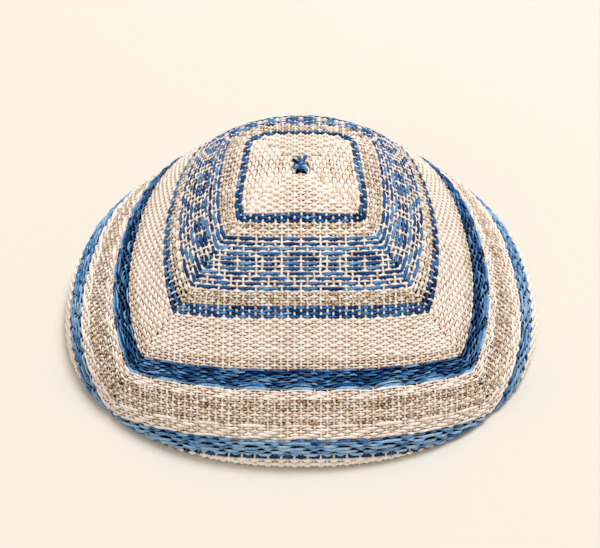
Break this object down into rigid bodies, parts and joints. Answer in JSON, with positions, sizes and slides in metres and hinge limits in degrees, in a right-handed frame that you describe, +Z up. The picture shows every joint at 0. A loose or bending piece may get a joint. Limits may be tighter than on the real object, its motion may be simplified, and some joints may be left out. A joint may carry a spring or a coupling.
{
  "type": "woven kippah skullcap",
  "caption": "Round woven skullcap of striped gores mitred into a low dome, hollow inside, with a thread tie at the crown.",
  "frame": {"origin": "middle of the rim, on the plane that it rests on", "axes": "+Z up through the crown tie, front of the cap towards -Y, +X to the right seen from the front"},
  "size_m": [0.17, 0.17, 0.0646],
  "materials": {
    "striped_cloth": "coarse hand-woven cotton, cream ground with blue and metallic silver weft stripes",
    "blue_thread": "twisted navy and mid-blue embroidery thread"
  },
  "bodies": {
    "root": {"panel_front": "striped_cloth", "panel_right": "striped_cloth", "panel_back": "striped_cloth", "panel_left": "striped_cloth", "crown_tie": "blue_thread"}
  },
  "joints": []
}
